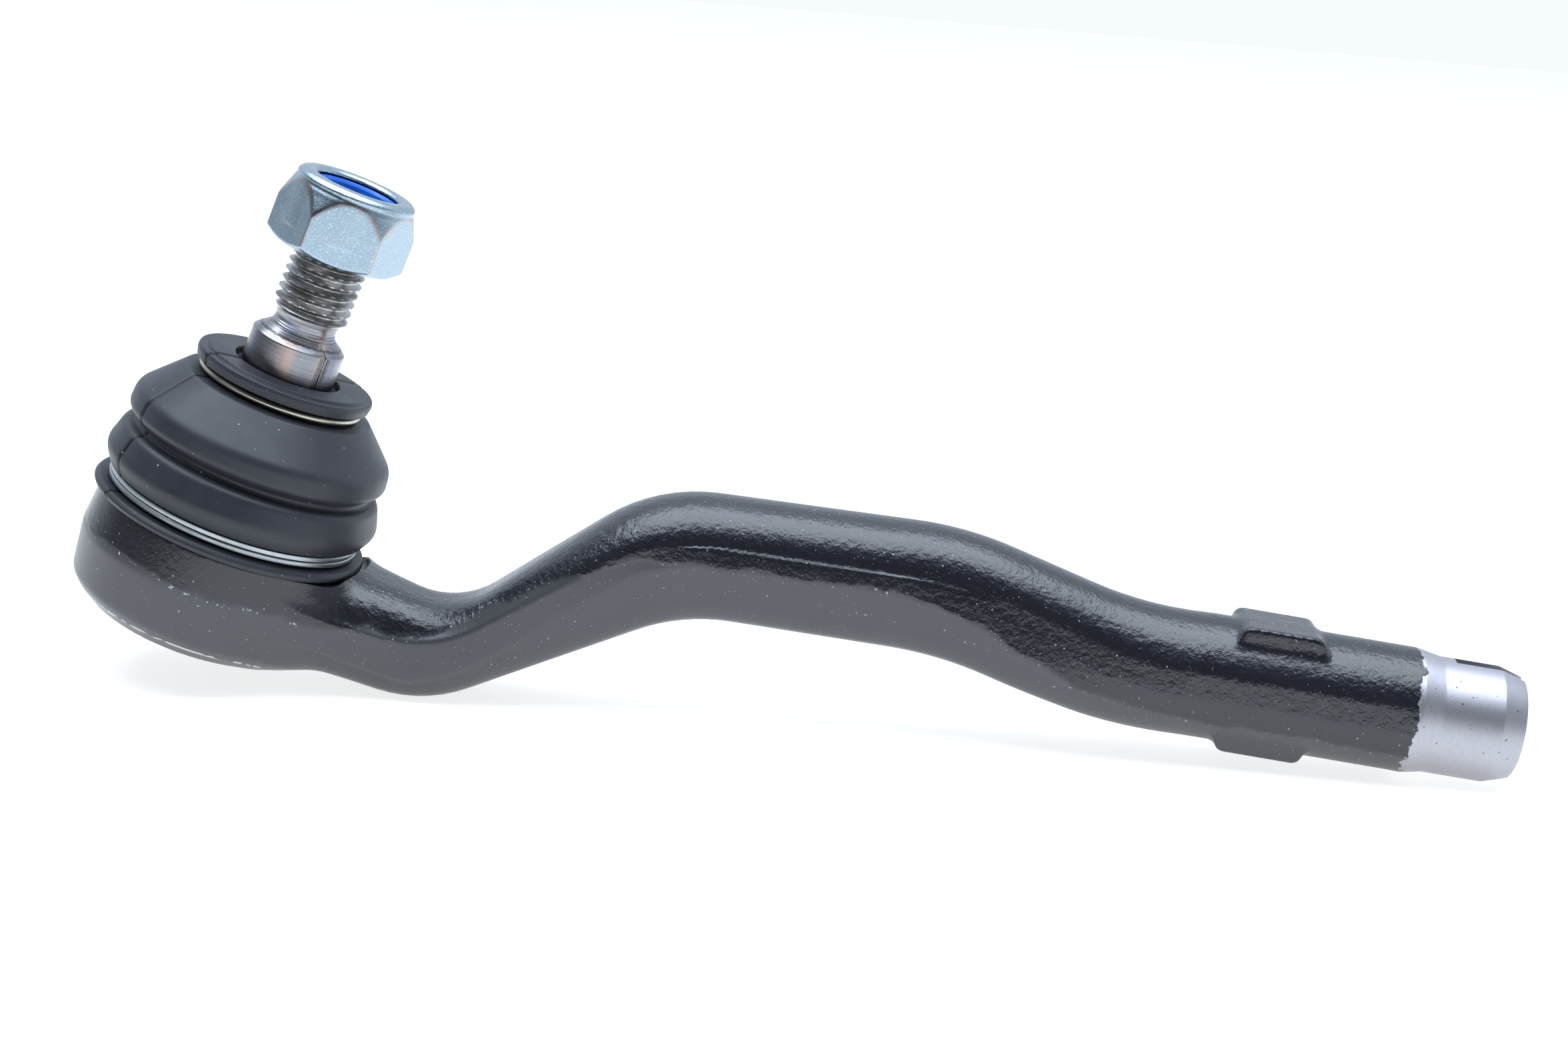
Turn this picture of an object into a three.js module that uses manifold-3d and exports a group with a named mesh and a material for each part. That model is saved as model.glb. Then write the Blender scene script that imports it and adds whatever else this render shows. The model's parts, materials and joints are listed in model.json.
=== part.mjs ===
// Outer tie rod end: a forged housing with a ball socket, a cranked arm and a threaded sleeve,
// a ball stud in plastic seats under a rubber boot, and a lock nut on the stud.
// Millimetres. Everything is drawn about the socket's axis: z along the stud, x towards the
// sleeve, zero near the middle of the socket. The finished part is then laid down as it rests
// on a table, on the bend of its arm and on the end of its sleeve.
import * as THREE from 'three';
import { mergeVertices } from 'three/addons/utils/BufferGeometryUtils.js';
import Module from 'manifold-3d';

const wasm = await Module();
wasm.setup();

// ---- Driving dimensions ------------------------------------------------------------------

const GAP = 0.3;                 // clearance between pieces that touch on the real part
const LEAN = 18.8;               // degrees the stud leans when the part lies on a table

// Socket of the housing
const SOCKET_RADIUS = 21.4;
const SOCKET_FOOT_RADIUS = 16.8;
const SOCKET_FOOT_Z = -6.8;
const SHOULDER_Z = 10.4;         // the boot's bead sits on this shoulder
const NECK_RADIUS = 17;
const NECK_TOP_Z = 15;
const LIP_RADIUS = 9.9;          // opening that the stud's neck swings in
const LIP_Z = 12.4;
const LIP_MOUTH_RADIUS = 12;
const SEAT_BORE_RADIUS = 13.9;
const COVER_RECESS_RADIUS = 15.8;
const RIM_INNER_RADIUS = 14.6;   // the rim rolled over the cover plate
const RIM_THICKNESS = 0.7;
const COVER_Z = [-5.9, -4.6];

// Sleeve at the arm's far end
const SLEEVE_END_X = 198;
const SLEEVE_END_Z = 61.97;
const SLEEVE_SLOPE = 14;         // degrees above the socket's plane
const SLEEVE_RADIUS = 10;
const SLEEVE_TIP_RADIUS = 9.2;
const SLEEVE_CHAMFER = 3.8;
const SLEEVE_CHAMFER_RADIUS = 8.06;
const SLEEVE_TIP_LENGTH = 13.1;
const SLEEVE_CONE_LENGTH = 3.3;
const THREAD_BORE_RADIUS = 6.4;  // M14 x 1.5 at its pitch line
const THREAD_BORE_DEPTH = 42;
const SLOT_WIDTH = 2.6;
const SLOT_LENGTH = 11;

// Arm between them
const ARM_WIDTH = 20;
const ARM_ROOT_WIDTH = 27;
const SECTION_POINTS = 28;

// Wrench pads above and below the sleeve, measured back from its end
const PAD_HALF_SPREAD = 10.05;
const PAD_WIDTH = 14;
const PAD_SLOPE = 2.4;           // length of the slope at each end
const UPPER_PAD = [-46.6, -31.2];
const LOWER_PAD = [-47.8, -31.4];

// Ball stud
const BALL_Z = 5.5;
const BALL_RADIUS = 11;
const BALL_FLAT_Z = -1.4;
const STUD_NECK_RADIUS = 6.2;
const SHANK_RADIUS = 7.4;
const SHANK_START_Z = 26;
const SHANK_END_Z = 42.2;
const UNDERCUT_RADIUS = 4.9;
const THREAD_START_Z = 46.5;
const THREAD_RADIUS = 5.5;       // M12 x 1.5 at its pitch line
const STUD_END_Z = 64;

// Lock nut, 19 mm across flats
const NUT_Z = 56.7;
const NUT_HEIGHT = 12;
const NUT_FLATS = 19;
const NUT_TURN = 13.3;           // degrees from the arm's plane to a corner
const NUT_BORE_RADIUS = THREAD_RADIUS + GAP;
const INSERT_Z = [64.5, 67.3];
const INSERT_RADIUS = 8;

// Boot and its rings
const BOOT_FOOT_Z = 10.7;
const BOOT_TOP_Z = 37.3;
const BOOT_WALL = 1.8;
const RING_Z = [12.6, 14.4];
const RING_RADIUS = 20.2;
const RING_THICKNESS = 0.8;
const WIRE_Z = 34.05;
const WIRE_CENTRE_RADIUS = 12.6;
const WIRE_RADIUS = 0.55;

const AROUND = 36;               // facets around the socket, the boot and the seats
const AROUND_SMALL = 24;         // facets around the stud and the nut

// ---- Shapes ------------------------------------------------------------------------------

const radians = THREE.MathUtils.degToRad;
const lerp = THREE.MathUtils.lerp;

// Leaves only positions, shared where they coincide, without empty triangles, facing outwards.
function cleaned(geometry) {
  const bare = geometry.clone();
  bare.deleteAttribute('normal');
  bare.deleteAttribute('uv');
  const merged = mergeVertices(bare, 1e-4);
  const place = merged.getAttribute('position');
  const index = merged.getIndex().array;
  const kept = [];
  let volume = 0;
  const [a, b, c] = [new THREE.Vector3(), new THREE.Vector3(), new THREE.Vector3()];
  for (let i = 0; i < index.length; i += 3) {
    const [p, q, r] = [index[i], index[i + 1], index[i + 2]];
    if (p === q || q === r || r === p) continue;
    kept.push(p, q, r);
    a.fromBufferAttribute(place, p);
    b.fromBufferAttribute(place, q);
    c.fromBufferAttribute(place, r);
    volume += a.dot(b.cross(c));
  }
  if (volume < 0) kept.reverse();
  merged.setIndex(kept);
  return merged;
}

function solid(geometry) {
  const closed = cleaned(geometry);
  return new wasm.Manifold(new wasm.Mesh({
    numProp: 3,
    vertProperties: new Float32Array(closed.getAttribute('position').array),
    triVerts: new Uint32Array(closed.getIndex().array),
  }));
}

function surface(body) {
  const mesh = body.getMesh();
  const geometry = new THREE.BufferGeometry();
  geometry.setAttribute('position', new THREE.BufferAttribute(mesh.vertProperties, 3));
  geometry.setIndex(new THREE.BufferAttribute(mesh.triVerts, 1));
  return geometry;
}

// An outline's corners, each [x, y] or [x, y, fillet radius], as points with arcs for fillets.
function filleted(corners, closed = false, steps = 4) {
  const points = [];
  corners.forEach(([x, y, radius], i) => {
    const here = new THREE.Vector2(x, y);
    const isEnd = !closed && (i === 0 || i === corners.length - 1);
    if (!radius || isEnd) {
      points.push(here);
      return;
    }
    const last = corners[(i + corners.length - 1) % corners.length];
    const next = corners[(i + 1) % corners.length];
    const back = new THREE.Vector2(last[0], last[1]).sub(here).normalize();
    const on = new THREE.Vector2(next[0], next[1]).sub(here).normalize();
    const half = Math.acos(THREE.MathUtils.clamp(back.dot(on), -1, 1)) / 2;
    const middle = back.clone().add(on).normalize();
    const centre = here.clone().addScaledVector(middle, radius / Math.sin(half));
    const start = here.clone().addScaledVector(back, radius / Math.tan(half)).sub(centre);
    const finish = here.clone().addScaledVector(on, radius / Math.tan(half)).sub(centre);
    const sweep = Math.atan2(start.cross(finish), start.dot(finish));
    for (let k = 0; k <= steps; k += 1) {
      const turned = start.clone().rotateAround(new THREE.Vector2(), (sweep * k) / steps);
      points.push(turned.add(centre));
    }
  });
  return points;
}

// Points of an arc about a point on the axis, from one height to another.
function sphereArc(centreZ, radius, fromZ, toZ, steps) {
  const from = Math.asin((fromZ - centreZ) / radius);
  const to = Math.asin((toZ - centreZ) / radius);
  return Array.from({ length: steps + 1 }, (_, k) => {
    const angle = lerp(from, to, k / steps);
    return [radius * Math.cos(angle), centreZ + radius * Math.sin(angle)];
  });
}

// A body of revolution about z. The profile is [radius, z] corners.
function turned(corners, facets = AROUND, steps = 2, closed = false) {
  const profile = filleted(corners, closed, steps);
  if (closed) profile.push(profile[0].clone());
  return new THREE.LatheGeometry(profile, facets).rotateX(Math.PI / 2);
}

// ---- Housing: arm and sleeve ---------------------------------------------------------------

const sleeveAxis = new THREE.Vector2(
  Math.cos(radians(SLEEVE_SLOPE)), Math.sin(radians(SLEEVE_SLOPE)));
const sleeveNormal = new THREE.Vector2(-sleeveAxis.y, sleeveAxis.x);

// A point beside the sleeve's axis, as [x, z], from its distance along and off that axis.
function bySleeve(along, off) {
  return [
    SLEEVE_END_X + along * sleeveAxis.x + off * sleeveNormal.x,
    SLEEVE_END_Z + along * sleeveAxis.y + off * sleeveNormal.y,
  ];
}

// The last corners of the arm's outline, along the sleeve, on its upper or lower side.
function sleeveOutline(side) {
  const coneEnd = -SLEEVE_TIP_LENGTH;
  return [
    bySleeve(coneEnd - SLEEVE_CONE_LENGTH, side * SLEEVE_RADIUS),
    bySleeve(coneEnd, side * SLEEVE_TIP_RADIUS),
    bySleeve(-SLEEVE_CHAMFER, side * SLEEVE_TIP_RADIUS),
    bySleeve(0, side * SLEEVE_CHAMFER_RADIUS),
  ];
}

// Upper and lower outlines of the arm in its plane, corner for corner: level out of the socket,
// steeply up, up a slope, level again, then along the sleeve.
const ARM_UPPER = [
  [14, 12.3], [24, 12.3, 3], [38.2, 12.1, 13], [59.8, 43.3, 28], [107, 56.8, 55],
  [138, 56.7, 60], [...bySleeve(-49, SLEEVE_RADIUS), 20], ...sleeveOutline(1),
];
const ARM_LOWER = [
  [14, -3.6], [24, -3.6, 3], [38.8, -3.6, 22], [71.6, 27.2, 30], [110.5, 37.4, 60],
  [140.2, 37.2, 60], [...bySleeve(-49, -SLEEVE_RADIUS), 20], ...sleeveOutline(-1),
];

// Half-round above the parting line, squarer below it, turning into a circle at the sleeve.
function armSection(top, bottom, width, roundness) {
  const centre = top.clone().add(bottom).multiplyScalar(0.5);
  const up = top.clone().sub(bottom).multiplyScalar(0.5);
  return Array.from({ length: SECTION_POINTS }, (_, k) => {
    const angle = (2 * Math.PI * k) / SECTION_POINTS;
    const [c, s] = [Math.cos(angle), Math.sin(angle)];
    const power = 2 / lerp(s >= 0 ? 2.15 : 2.7, 2, roundness);
    const across = Math.sign(c) * Math.abs(c) ** power;
    const rise = Math.sign(s) * Math.abs(s) ** power;
    return new THREE.Vector3(
      centre.x + up.x * rise, (width / 2) * across, centre.y + up.y * rise);
  });
}

// A closed skin over rings of equal length, capped flat at both ends.
function skinned(rings) {
  const count = rings[0].length;
  const points = rings.flat();
  const index = [];
  for (let i = 0; i + 1 < rings.length; i += 1) {
    for (let k = 0; k < count; k += 1) {
      const next = (k + 1) % count;
      const [a, b] = [i * count + k, i * count + next];
      index.push(a, b, b + count, a, b + count, a + count);
    }
  }
  const last = (rings.length - 1) * count;
  for (let k = 1; k + 1 < count; k += 1) {
    index.push(0, k + 1, k, last, last + k, last + k + 1);
  }
  const geometry = new THREE.BufferGeometry().setFromPoints(points);
  geometry.setIndex(index);
  return geometry;
}

function armAndSleeve() {
  const steps = 4;
  const upper = filleted(ARM_UPPER, false, steps);
  const lower = filleted(ARM_LOWER, false, steps);
  const rings = upper.map((top, i) => {
    const bottom = lower[i];
    const x = (top.x + bottom.x) / 2;
    const flare = THREE.MathUtils.smoothstep(x, 16, 34);
    const roundness = THREE.MathUtils.smoothstep(x, 112, 150);
    const beside = i >= upper.length - 4;
    const width = beside ? top.distanceTo(bottom) : lerp(ARM_ROOT_WIDTH, ARM_WIDTH, flare);
    return armSection(top, bottom, width, roundness);
  });
  return solid(skinned(rings));
}

// Turns something drawn along +z from the origin so that it runs along the sleeve's axis,
// starting at a distance from the sleeve's end.
function alongSleeve(geometry, along) {
  const [x, z] = bySleeve(along, 0);
  return geometry.rotateY(radians(90 - SLEEVE_SLOPE)).translate(x, 0, z);
}

function wrenchPad([from, to], side) {
  const foot = side * 5;
  const top = side * PAD_HALF_SPREAD;
  const outline = new THREE.Shape(filleted([
    [from, foot], [from + PAD_SLOPE, top, 1.5], [to - PAD_SLOPE, top, 1.5], [to, foot],
  ], false, 2));
  const pad = new THREE.ExtrudeGeometry(outline, { depth: PAD_WIDTH, bevelEnabled: false });
  pad.rotateX(Math.PI / 2).translate(0, PAD_WIDTH / 2, 0).rotateY(-radians(SLEEVE_SLOPE));
  pad.translate(SLEEVE_END_X, 0, SLEEVE_END_Z);
  return solid(pad);
}

function sleeveBore() {
  const tipDepth = THREAD_BORE_DEPTH + 3;
  const bore = turned([
    [0, -tipDepth], [THREAD_BORE_RADIUS, -THREAD_BORE_DEPTH], [THREAD_BORE_RADIUS, -0.5],
    [THREAD_BORE_RADIUS + 0.5, 0], [THREAD_BORE_RADIUS + 0.5, 1], [0, 1],
  ], SECTION_POINTS);
  return solid(alongSleeve(bore, 0));
}

// One saw cut across the sleeve's end, through its upper and lower walls.
function sleeveSlot() {
  const slot = new THREE.BoxGeometry(4 * SLEEVE_RADIUS, SLOT_WIDTH, SLOT_LENGTH + 1);
  slot.translate(0, 0, -(SLOT_LENGTH - 1) / 2);
  return solid(alongSleeve(slot, 0));
}

// ---- Housing: socket -----------------------------------------------------------------------

function socketOutside() {
  return solid(turned([
    [0, SOCKET_FOOT_Z], [SOCKET_FOOT_RADIUS, SOCKET_FOOT_Z], [19.2, -5],
    [20.3, -3.6, 1], [SOCKET_RADIUS, 3, 8], [SOCKET_RADIUS, SHOULDER_Z, 0.8],
    [NECK_RADIUS, SHOULDER_Z, 0.4], [NECK_RADIUS, NECK_TOP_Z, 0.8], [0, NECK_TOP_Z],
  ]));
}

// Everything bored out of the socket: rim, cover recess, seat bore, lip and its mouth.
function socketInside() {
  const rimTop = SOCKET_FOOT_Z + RIM_THICKNESS;
  return solid(turned([
    [0, SOCKET_FOOT_Z - 1], [RIM_INNER_RADIUS, SOCKET_FOOT_Z - 1],
    [RIM_INNER_RADIUS, rimTop], [COVER_RECESS_RADIUS, rimTop],
    [COVER_RECESS_RADIUS, COVER_Z[1] + GAP], [SEAT_BORE_RADIUS, COVER_Z[1] + GAP],
    [SEAT_BORE_RADIUS, 9.2], [11, LIP_Z - 0.2],
    [LIP_RADIUS, LIP_Z - 0.2], [LIP_RADIUS, LIP_Z], [LIP_MOUTH_RADIUS, NECK_TOP_Z],
    [LIP_MOUTH_RADIUS, NECK_TOP_Z + 1], [0, NECK_TOP_Z + 1],
  ]));
}

// The space over the shoulder, where the boot's bead lies.
function beadSpace() {
  const reach = 22.9;
  return solid(turned([
    [NECK_RADIUS - 2, SHOULDER_Z], [reach, SHOULDER_Z, 0.5], [reach, 20], [NECK_RADIUS - 2, 20],
  ], AROUND, 2, true));
}

function housing() {
  return surface(armAndSleeve()
    .add(wrenchPad(UPPER_PAD, 1))
    .add(wrenchPad(LOWER_PAD, -1))
    .subtract(beadSpace())
    .add(socketOutside())
    .subtract(socketInside())
    .subtract(sleeveBore())
    .subtract(sleeveSlot()));
}

// ---- Inside the socket ---------------------------------------------------------------------

const SEAT_INNER = BALL_RADIUS + GAP;
const SEAT_OUTER = SEAT_BORE_RADIUS - GAP;
const SEAT_FOOT_Z = -3.1;

function upperSeat() {
  const top = 11;
  return turned([
    ...sphereArc(BALL_Z, SEAT_INNER, BALL_Z + 0.2, top, 4), [10.7, top + 0.6],
    [SEAT_OUTER, 9], [SEAT_OUTER, BALL_Z + 0.2],
  ], AROUND, 2, true);
}

// A cup without a bottom, which leaves room for the ball's flat end when the stud tilts.
function lowerSeat() {
  return turned([
    [SEAT_OUTER, SEAT_FOOT_Z + 1], [SEAT_OUTER, BALL_Z - 0.2],
    ...sphereArc(BALL_Z, SEAT_INNER, BALL_Z - 0.2, SEAT_FOOT_Z, 6),
    [SEAT_OUTER - 1, SEAT_FOOT_Z],
  ], AROUND, 2, true);
}

// A dished ring: its outer edge stands on the cover plate, its inner edge bears on the seat.
function preloadSpring() {
  const [inner, outer] = [8.6, 12.9];
  const [foot, rise, thickness] = [COVER_Z[1] + GAP, 0.3, 0.5];
  return turned([
    [inner, foot + rise], [outer, foot], [outer, foot + thickness],
    [inner, foot + rise + thickness],
  ], AROUND, 2, true);
}

function coverPlate() {
  const [bottom, top] = COVER_Z;
  const edge = COVER_RECESS_RADIUS - GAP;
  return turned([
    [0, bottom + 0.5], [7, bottom + 0.5], [8, bottom], [edge, bottom], [edge, top], [0, top],
  ]);
}

// ---- Stud and nut --------------------------------------------------------------------------

function ballStud() {
  const neckMeetsBall = BALL_Z + Math.sqrt(BALL_RADIUS ** 2 - STUD_NECK_RADIUS ** 2);
  return turned([
    [0, BALL_FLAT_Z], ...sphereArc(BALL_Z, BALL_RADIUS, BALL_FLAT_Z, neckMeetsBall, 8),
    [STUD_NECK_RADIUS, 21, 6], [SHANK_RADIUS, SHANK_START_Z, 6], [SHANK_RADIUS, SHANK_END_Z],
    [SHANK_RADIUS - 0.3, SHANK_END_Z + 0.3], [UNDERCUT_RADIUS, 44.4, 1.5],
    [UNDERCUT_RADIUS, 45.9], [THREAD_RADIUS, THREAD_START_Z], [THREAD_RADIUS, STUD_END_Z - 1],
    [THREAD_RADIUS - 1, STUD_END_Z], [0, STUD_END_Z],
  ], AROUND_SMALL, 2);
}

function lockNut() {
  const top = NUT_Z + NUT_HEIGHT;
  const corner = NUT_FLATS / 2 / Math.cos(Math.PI / 6);
  const hexagon = new THREE.CylinderGeometry(corner, corner, NUT_HEIGHT, 6);
  hexagon.rotateX(Math.PI / 2).rotateZ(radians(NUT_TURN - 90));
  hexagon.translate(0, 0, NUT_Z + NUT_HEIGHT / 2);
  const chamfers = turned([
    [0, NUT_Z], [9.2, NUT_Z], [11, NUT_Z + 1], [11, NUT_Z + 6.5], [9.5, NUT_Z + 9.4, 3],
    [9.2, NUT_Z + 10.7, 1], [7.6, top, 1], [0, top],
  ], AROUND_SMALL, 2);
  const [insertLow, insertHigh] = INSERT_Z;
  const bore = turned([
    [0, NUT_Z - 1], [NUT_BORE_RADIUS + 1, NUT_Z - 1], [NUT_BORE_RADIUS + 1, NUT_Z],
    [NUT_BORE_RADIUS, NUT_Z + 1], [NUT_BORE_RADIUS, insertLow - GAP],
    [INSERT_RADIUS + GAP, insertLow - GAP], [INSERT_RADIUS + GAP, insertHigh + GAP],
    [6.25, insertHigh + GAP], [7, top + 0.01], [7, top + 1], [0, top + 1],
  ], AROUND_SMALL, 2);
  return surface(solid(hexagon).intersect(solid(chamfers)).subtract(solid(bore)));
}

function nylonInsert() {
  const [low, high] = INSERT_Z;
  return turned([
    [NUT_BORE_RADIUS, low], [INSERT_RADIUS, low], [INSERT_RADIUS, high],
    [NUT_BORE_RADIUS + 0.3, high], [NUT_BORE_RADIUS, high - 0.5],
  ], AROUND_SMALL, 2, true);
}

// ---- Boot and its rings ----------------------------------------------------------------------

// Bead, ring groove, two folds, cone, wire groove and flange outside; the same folds inside,
// one wall thickness in, with the collar that grips the stud.
function dustBoot() {
  const foot = NECK_RADIUS + GAP;
  const grooveFloor = RING_RADIUS - RING_THICKNESS - GAP;
  const wireFloor = WIRE_CENTRE_RADIUS - WIRE_RADIUS - GAP;
  const collar = SHANK_RADIUS + GAP;
  const outside = [
    [foot, BOOT_FOOT_Z], [21.8, BOOT_FOOT_Z], [22.4, 11.6],
    [21.4, RING_Z[0] - GAP], [grooveFloor, RING_Z[0] - GAP],
    [grooveFloor, RING_Z[1] + GAP], [20.5, RING_Z[1] + GAP], [21.9, 17.4, 2],
    [20.9, 20.9, 1.2], [18.2, 22.2, 1], [21, 25.8, 2.4], [19.2, 28.9, 2.4],
    [14.9, 33.1], [wireFloor, 33.15], [wireFloor, 34.95], [14.05, 35.1],
    [14.05, BOOT_TOP_Z - 0.4], [13.6, BOOT_TOP_Z],
  ];
  const inside = [
    [8.4, BOOT_TOP_Z], [collar, BOOT_TOP_Z - 0.7], [collar, 30, 1], [11.6, 30.6, 1.5],
    [17.4, 27.8, 2], [18.9, 25.6, 1.6], [16.2, 22.2, 1.6], [19.2, 19.8, 1],
    [21.9 - BOOT_WALL - 0.5, 17.4, 1], [foot + 0.3, 15.6, 1],
  ];
  return turned([...outside, ...inside], AROUND, 1, true);
}

// Two turns of flat wire lying on each other.
function lowerRing() {
  const [low, high] = RING_Z;
  const middle = (low + high) / 2;
  const inner = RING_RADIUS - RING_THICKNESS;
  return turned([
    [inner, low], [RING_RADIUS, low], [RING_RADIUS, middle - 0.1],
    [RING_RADIUS - 0.2, middle], [RING_RADIUS, middle + 0.1], [RING_RADIUS, high],
    [inner, high],
  ], AROUND, 1, true);
}

function upperRing() {
  return new THREE.TorusGeometry(WIRE_CENTRE_RADIUS, WIRE_RADIUS, 6, AROUND)
    .translate(0, 0, WIRE_Z);
}

// ---- Assembly --------------------------------------------------------------------------------

function piece(name, geometry, color, roughness, metalness) {
  const material = new THREE.MeshStandardMaterial({ color, roughness, metalness });
  const mesh = new THREE.Mesh(cleaned(geometry), material);
  mesh.name = name;
  return mesh;
}

const assembly = new THREE.Group();
assembly.add(
  piece('housing', housing(), 0x17171c, 0.35, 0.2),
  piece('cover_plate', coverPlate(), 0x26262a, 0.5, 0.5),
  piece('preload_spring', preloadSpring(), 0x7d8186, 0.35, 1),
  piece('lower_ball_seat', lowerSeat(), 0xd9d4c4, 0.45, 0),
  piece('upper_ball_seat', upperSeat(), 0xd9d4c4, 0.45, 0),
  piece('ball_stud', ballStud(), 0x9a9ca0, 0.28, 1),
  piece('dust_boot', dustBoot(), 0x1b1b1d, 0.75, 0),
  piece('boot_lower_ring', lowerRing(), 0xa7adb0, 0.35, 1),
  piece('boot_upper_ring', upperRing(), 0xb9ad8d, 0.3, 1),
  piece('lock_nut', lockNut(), 0xb9c8d2, 0.3, 1),
  piece('nylon_insert', nylonInsert(), 0x1c53c8, 0.4, 0),
);

// Lying on a table: leant over, then moved so that the origin is under the middle of its box.
assembly.rotation.y = radians(LEAN);
const part = new THREE.Group();
part.add(assembly);
part.updateMatrixWorld(true);
const box = new THREE.Box3().setFromObject(part, true);
const middle = box.getCenter(new THREE.Vector3());
assembly.position.set(-middle.x, -middle.y, -box.min.z);

export default part;
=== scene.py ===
import json
import math

import bmesh
import bpy
import numpy as np
import openvdb
from mathutils import Matrix, Vector


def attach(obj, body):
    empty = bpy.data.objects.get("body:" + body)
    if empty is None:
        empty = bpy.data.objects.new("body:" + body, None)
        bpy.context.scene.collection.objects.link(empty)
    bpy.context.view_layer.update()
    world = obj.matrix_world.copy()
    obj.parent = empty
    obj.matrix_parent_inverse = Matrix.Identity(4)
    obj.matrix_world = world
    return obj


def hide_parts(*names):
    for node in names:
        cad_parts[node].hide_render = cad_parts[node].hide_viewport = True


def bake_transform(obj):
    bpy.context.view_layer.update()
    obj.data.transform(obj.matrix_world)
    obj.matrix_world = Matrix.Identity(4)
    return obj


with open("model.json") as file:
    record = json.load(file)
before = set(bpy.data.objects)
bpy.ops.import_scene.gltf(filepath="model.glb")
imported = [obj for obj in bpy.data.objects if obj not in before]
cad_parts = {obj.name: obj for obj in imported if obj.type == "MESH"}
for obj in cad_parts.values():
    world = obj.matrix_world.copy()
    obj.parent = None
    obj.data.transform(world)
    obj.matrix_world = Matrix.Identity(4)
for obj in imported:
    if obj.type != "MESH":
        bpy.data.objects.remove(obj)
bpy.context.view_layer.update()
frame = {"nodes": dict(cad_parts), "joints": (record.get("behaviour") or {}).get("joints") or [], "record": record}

# Lengths are millimetres and heights are along the stud (z), from near the middle of the socket,
# with x towards the sleeve. LAID turns this into the frame that the part lies in, in metres.
MM = 0.001
JOINTS = {joint["name"]: joint for joint in frame["joints"]}
MOUNTS = {mount["name"]: mount for mount in frame["record"]["mounts"]}

BALL_Z = 5.5
STUD_AXIS = Vector(JOINTS["stud_swing"]["axis"])
BALL_PLACE = Vector(JOINTS["stud_swing"]["pos_m"])
LEAN = math.atan2(STUD_AXIS.x, STUD_AXIS.z)
LAID = (
    Matrix.Translation(BALL_PLACE)
    @ Matrix.Rotation(LEAN, 4, "Y")
    @ Matrix.Scale(MM, 4)
    @ Matrix.Translation((0, 0, -BALL_Z))
)
DRAWN = LAID.inverted()

# ---- Driving dimensions ------------------------------------------

# Sleeve: its end comes from the mount on its face
END = DRAWN @ Vector(MOUNTS["sleeve_end_face"]["pos_m"])
SLEEVE_AXIS = (DRAWN.to_3x3() @ Vector(MOUNTS["sleeve_end_face"]["axis"])).normalized()
SLEEVE_SLOPE = math.atan2(SLEEVE_AXIS.z, SLEEVE_AXIS.x)
SLEEVE_RADIUS = 10
SLEEVE_TIP_RADIUS = 9.2
SLEEVE_TIP_LENGTH = 13.1
SLEEVE_CONE_START = -16.4
SLEEVE_CHAMFER = 3.8
SLEEVE_CHAMFER_RADIUS = 8.06
SLOT_WIDTH = 2.6
SLOT_LENGTH = 11
BORE_ROOT_RADIUS = 7
BORE_CREST_RADIUS = 6.2
BORE_DEPTH = 42
PITCH = 1.5

ARM_HALF_WIDTH = 10
ARM_ROOT_HALF_WIDTH = 13.5
PAD_HALF_WIDTH = 6.8
PAD_EDGE = 0.6
PAD_SLOPE = 2.2
# Each pad's ends along the sleeve and its face's distance off the axis
UPPER_PAD = (-47.4, -30.4, 10.45)
LOWER_PAD = (-48.2, -30.6, -10.05)

SOCKET_RADIUS = 21.3
SHOULDER_Z = 10.4
SHOULDER_SPACE_RADIUS = 22.9
NECK_RADIUS = 17
NECK_TOP_Z = 15
RIM_EDGE = (19.2, -5.0)
FOOT_Z = -6.8
COVER_Z = (-5.9, -4.6)
COVER_RADIUS = 15.5
RIM_INNER = 14.6
SEAT_BORE = 13.9

BALL_RADIUS = 11
BALL_FLAT_Z = -1.4
STUD_NECK_RADIUS = 6.2
SHANK_RADIUS = 7.4
SHANK_END_Z = 42.2
UNDERCUT_RADIUS = 4.9
THREAD_Z = (46.3, 64)
THREAD_CREST = 6.0
THREAD_ROOT = 5.1

NUT_Z = 56.7
NUT_TOP_Z = 68.36
NUT_HALF_FLATS = 9.5
NUT_CONE = (11.05, 62.7)  # radius and height where the cone above starts
NUT_TURN = math.radians(13.3)
INSERT_Z = (64.5, 67.3)
INSERT_RADIUS = 8

RING_Z = (12.6, 14.4)
RING_RADIUS = 20.2
RING_THICKNESS = 0.8
WIRE_Z = 34.05
WIRE_CENTRE_RADIUS = 12.6
WIRE_RADIUS = 0.55
SEAM_ANGLES = (math.radians(41), math.radians(221))

# ---- Meshes ------------------------------------------------------


def by_sleeve(along, off):
    """A point [x, z] beside the sleeve's axis, from its distance along and off that axis."""
    c, s = math.cos(SLEEVE_SLOPE), math.sin(SLEEVE_SLOPE)
    return [END.x + along * c - off * s, END.z + along * s + off * c]


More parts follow.
